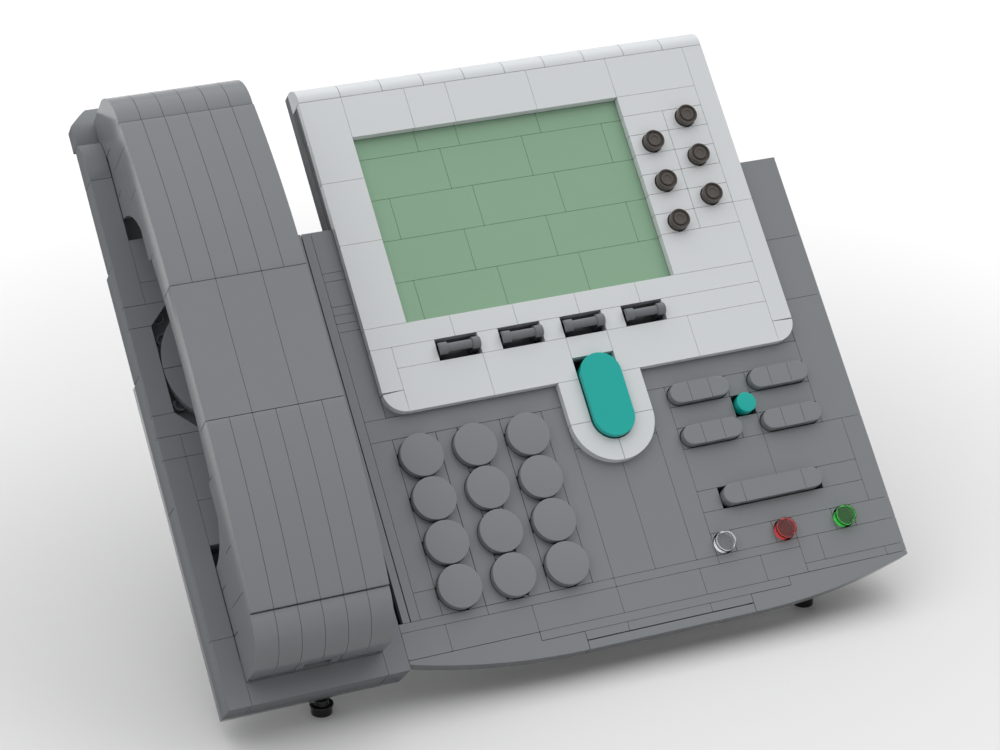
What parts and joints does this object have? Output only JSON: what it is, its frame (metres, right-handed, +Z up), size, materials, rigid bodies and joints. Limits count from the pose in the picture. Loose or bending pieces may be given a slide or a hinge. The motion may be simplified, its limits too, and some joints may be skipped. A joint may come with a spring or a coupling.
{
  "type": "desk telephone",
  "caption": "Sloping desk telephone built of plastic bricks, with a screen, keypad, function keys and a lift-off handset in its cradle.",
  "frame": {"origin": "middle of the footprint on the desk", "axes": "+X to the telephone's right, +Y to its back, +Z up"},
  "size_m": [0.2558, 0.1738, 0.1814],
  "materials": {
    "deck_grey": "gloss",
    "bezel_grey": "gloss",
    "screen_green": "gloss",
    "inner_black": "gloss",
    "foot_black": "gloss",
    "teal": "gloss",
    "key_brown": "gloss",
    "soft_grey": "gloss",
    "clear_lamp": "clear gloss",
    "red_lamp": "clear gloss",
    "green_lamp": "clear gloss"
  },
  "bodies": {
    "phone": {"deck_tiles": "deck_grey", "deck_edge_strips": "deck_grey", "front_lip": "deck_grey", "deck_plates": "inner_black", "deck_walls": "deck_grey", "base_plate": "deck_grey", "display_housing": "deck_grey", "display_rim": "deck_grey", "display_tray": "inner_black", "bezel_tiles": "bezel_grey", "bezel_brow": "bezel_grey", "screen_tiles": "screen_green", "tongue_tiles": "bezel_grey", "cradle_walls": "deck_grey", "cradle_floor": "deck_grey", "cradle_tiles": "deck_grey", "cradle_end_slopes": "deck_grey", "cradle_disc": "deck_grey", "cradle_studs": "deck_grey", "foot_brackets": "deck_grey", "feet": "foot_black", "rear_stand": "deck_grey"},
    "handset": {"grip_tiles": "deck_grey", "arch_strips": "deck_grey", "end_caps": "deck_grey", "handset_body": "deck_grey", "ear_capsule": "inner_black", "mouth_capsule": "inner_black"},
    "volume_bar": {"volume_bar": "deck_grey"},
    "oval_key": {"oval_key": "teal"},
    "round_key": {"round_key": "teal"},
    "keypad_key_1": {"keypad_key_1": "deck_grey"},
    "keypad_key_2": {"keypad_key_2": "deck_grey"},
    "keypad_key_3": {"keypad_key_3": "deck_grey"},
    "keypad_key_4": {"keypad_key_4": "deck_grey"},
    "keypad_key_5": {"keypad_key_5": "deck_grey"},
    "keypad_key_6": {"keypad_key_6": "deck_grey"},
    "keypad_key_7": {"keypad_key_7": "deck_grey"},
    "keypad_key_8": {"keypad_key_8": "deck_grey"},
    "keypad_key_9": {"keypad_key_9": "deck_grey"},
    "keypad_key_10": {"keypad_key_10": "deck_grey"},
    "keypad_key_11": {"keypad_key_11": "deck_grey"},
    "keypad_key_12": {"keypad_key_12": "deck_grey"},
    "pill_key_1": {"pill_key_1": "deck_grey"},
    "pill_key_2": {"pill_key_2": "deck_grey"},
    "pill_key_3": {"pill_key_3": "deck_grey"},
    "pill_key_4": {"pill_key_4": "deck_grey"},
    "lamp_key_1": {"lamp_key_1": "clear_lamp"},
    "lamp_key_2": {"lamp_key_2": "red_lamp"},
    "lamp_key_3": {"lamp_key_3": "green_lamp"},
    "line_key_1": {"line_key_1": "key_brown"},
    "line_key_2": {"line_key_2": "key_brown"},
    "line_key_3": {"line_key_3": "key_brown"},
    "line_key_4": {"line_key_4": "key_brown"},
    "line_key_5": {"line_key_5": "key_brown"},
    "line_key_6": {"line_key_6": "key_brown"},
    "soft_key_1": {"soft_key_1": "soft_grey"},
    "soft_key_2": {"soft_key_2": "soft_grey"},
    "soft_key_3": {"soft_key_3": "soft_grey"},
    "soft_key_4": {"soft_key_4": "soft_grey"}
  },
  "joints": [
    {"name": "handset_lift", "type": "slide", "parent": "phone", "child": "handset", "axis": [0, -0.7071, 0.7071], "range_m": [0, 0.06]},
    {"name": "volume_bar_press", "type": "slide", "parent": "phone", "child": "volume_bar", "axis": [0, 0.7071, -0.7071], "range_m": [0, 0.0012], "stiffness_N_per_m": 150, "springref_m": -0.0015},
    {"name": "oval_key_press", "type": "slide", "parent": "phone", "child": "oval_key", "axis": [0, 0.7071, -0.7071], "range_m": [0, 0.0012], "stiffness_N_per_m": 150, "springref_m": -0.0015},
    {"name": "round_key_press", "type": "slide", "parent": "phone", "child": "round_key", "axis": [0, 0.7071, -0.7071], "range_m": [0, 0.0012], "stiffness_N_per_m": 150, "springref_m": -0.0015},
    {"name": "keypad_key_1_press", "type": "slide", "parent": "phone", "child": "keypad_key_1", "axis": [0, 0.7071, -0.7071], "range_m": [0, 0.0012], "stiffness_N_per_m": 150, "springref_m": -0.0015},
    {"name": "keypad_key_2_press", "type": "slide", "parent": "phone", "child": "keypad_key_2", "axis": [0, 0.7071, -0.7071], "range_m": [0, 0.0012], "stiffness_N_per_m": 150, "springref_m": -0.0015},
    {"name": "keypad_key_3_press", "type": "slide", "parent": "phone", "child": "keypad_key_3", "axis": [0, 0.7071, -0.7071], "range_m": [0, 0.0012], "stiffness_N_per_m": 150, "springref_m": -0.0015},
    {"name": "keypad_key_4_press", "type": "slide", "parent": "phone", "child": "keypad_key_4", "axis": [0, 0.7071, -0.7071], "range_m": [0, 0.0012], "stiffness_N_per_m": 150, "springref_m": -0.0015},
    {"name": "keypad_key_5_press", "type": "slide", "parent": "phone", "child": "keypad_key_5", "axis": [0, 0.7071, -0.7071], "range_m": [0, 0.0012], "stiffness_N_per_m": 150, "springref_m": -0.0015},
    {"name": "keypad_key_6_press", "type": "slide", "parent": "phone", "child": "keypad_key_6", "axis": [0, 0.7071, -0.7071], "range_m": [0, 0.0012], "stiffness_N_per_m": 150, "springref_m": -0.0015},
    {"name": "keypad_key_7_press", "type": "slide", "parent": "phone", "child": "keypad_key_7", "axis": [0, 0.7071, -0.7071], "range_m": [0, 0.0012], "stiffness_N_per_m": 150, "springref_m": -0.0015},
    {"name": "keypad_key_8_press", "type": "slide", "parent": "phone", "child": "keypad_key_8", "axis": [0, 0.7071, -0.7071], "range_m": [0, 0.0012], "stiffness_N_per_m": 150, "springref_m": -0.0015},
    {"name": "keypad_key_9_press", "type": "slide", "parent": "phone", "child": "keypad_key_9", "axis": [0, 0.7071, -0.7071], "range_m": [0, 0.0012], "stiffness_N_per_m": 150, "springref_m": -0.0015},
    {"name": "keypad_key_10_press", "type": "slide", "parent": "phone", "child": "keypad_key_10", "axis": [0, 0.7071, -0.7071], "range_m": [0, 0.0012], "stiffness_N_per_m": 150, "springref_m": -0.0015},
    {"name": "keypad_key_11_press", "type": "slide", "parent": "phone", "child": "keypad_key_11", "axis": [0, 0.7071, -0.7071], "range_m": [0, 0.0012], "stiffness_N_per_m": 150, "springref_m": -0.0015},
    {"name": "keypad_key_12_press", "type": "slide", "parent": "phone", "child": "keypad_key_12", "axis": [0, 0.7071, -0.7071], "range_m": [0, 0.0012], "stiffness_N_per_m": 150, "springref_m": -0.0015},
    {"name": "pill_key_1_press", "type": "slide", "parent": "phone", "child": "pill_key_1", "axis": [0, 0.7071, -0.7071], "range_m": [0, 0.0012], "stiffness_N_per_m": 150, "springref_m": -0.0015},
    {"name": "pill_key_2_press", "type": "slide", "parent": "phone", "child": "pill_key_2", "axis": [0, 0.7071, -0.7071], "range_m": [0, 0.0012], "stiffness_N_per_m": 150, "springref_m": -0.0015},
    {"name": "pill_key_3_press", "type": "slide", "parent": "phone", "child": "pill_key_3", "axis": [0, 0.7071, -0.7071], "range_m": [0, 0.0012], "stiffness_N_per_m": 150, "springref_m": -0.0015},
    {"name": "pill_key_4_press", "type": "slide", "parent": "phone", "child": "pill_key_4", "axis": [0, 0.7071, -0.7071], "range_m": [0, 0.0012], "stiffness_N_per_m": 150, "springref_m": -0.0015},
    {"name": "lamp_key_1_press", "type": "slide", "parent": "phone", "child": "lamp_key_1", "axis": [0, 0.7071, -0.7071], "range_m": [0, 0.0012], "stiffness_N_per_m": 150, "springref_m": -0.0015},
    {"name": "lamp_key_2_press", "type": "slide", "parent": "phone", "child": "lamp_key_2", "axis": [0, 0.7071, -0.7071], "range_m": [0, 0.0012], "stiffness_N_per_m": 150, "springref_m": -0.0015},
    {"name": "lamp_key_3_press", "type": "slide", "parent": "phone", "child": "lamp_key_3", "axis": [0, 0.7071, -0.7071], "range_m": [0, 0.0012], "stiffness_N_per_m": 150, "springref_m": -0.0015},
    {"name": "line_key_1_press", "type": "slide", "parent": "phone", "child": "line_key_1", "axis": [0, 0.7071, -0.7071], "range_m": [0, 0.0012], "stiffness_N_per_m": 150, "springref_m": -0.0015},
    {"name": "line_key_2_press", "type": "slide", "parent": "phone", "child": "line_key_2", "axis": [0, 0.7071, -0.7071], "range_m": [0, 0.0012], "stiffness_N_per_m": 150, "springref_m": -0.0015},
    {"name": "line_key_3_press", "type": "slide", "parent": "phone", "child": "line_key_3", "axis": [0, 0.7071, -0.7071], "range_m": [0, 0.0012], "stiffness_N_per_m": 150, "springref_m": -0.0015},
    {"name": "line_key_4_press", "type": "slide", "parent": "phone", "child": "line_key_4", "axis": [0, 0.7071, -0.7071], "range_m": [0, 0.0012], "stiffness_N_per_m": 150, "springref_m": -0.0015},
    {"name": "line_key_5_press", "type": "slide", "parent": "phone", "child": "line_key_5", "axis": [0, 0.7071, -0.7071], "range_m": [0, 0.0012], "stiffness_N_per_m": 150, "springref_m": -0.0015},
    {"name": "line_key_6_press", "type": "slide", "parent": "phone", "child": "line_key_6", "axis": [0, 0.7071, -0.7071], "range_m": [0, 0.0012], "stiffness_N_per_m": 150, "springref_m": -0.0015},
    {"name": "soft_key_1_press", "type": "slide", "parent": "phone", "child": "soft_key_1", "axis": [0, 0.7071, -0.7071], "range_m": [0, 0.0012], "stiffness_N_per_m": 150, "springref_m": -0.0015},
    {"name": "soft_key_2_press", "type": "slide", "parent": "phone", "child": "soft_key_2", "axis": [0, 0.7071, -0.7071], "range_m": [0, 0.0012], "stiffness_N_per_m": 150, "springref_m": -0.0015},
    {"name": "soft_key_3_press", "type": "slide", "parent": "phone", "child": "soft_key_3", "axis": [0, 0.7071, -0.7071], "range_m": [0, 0.0012], "stiffness_N_per_m": 150, "springref_m": -0.0015},
    {"name": "soft_key_4_press", "type": "slide", "parent": "phone", "child": "soft_key_4", "axis": [0, 0.7071, -0.7071], "range_m": [0, 0.0012], "stiffness_N_per_m": 150, "springref_m": -0.0015}
  ]
}
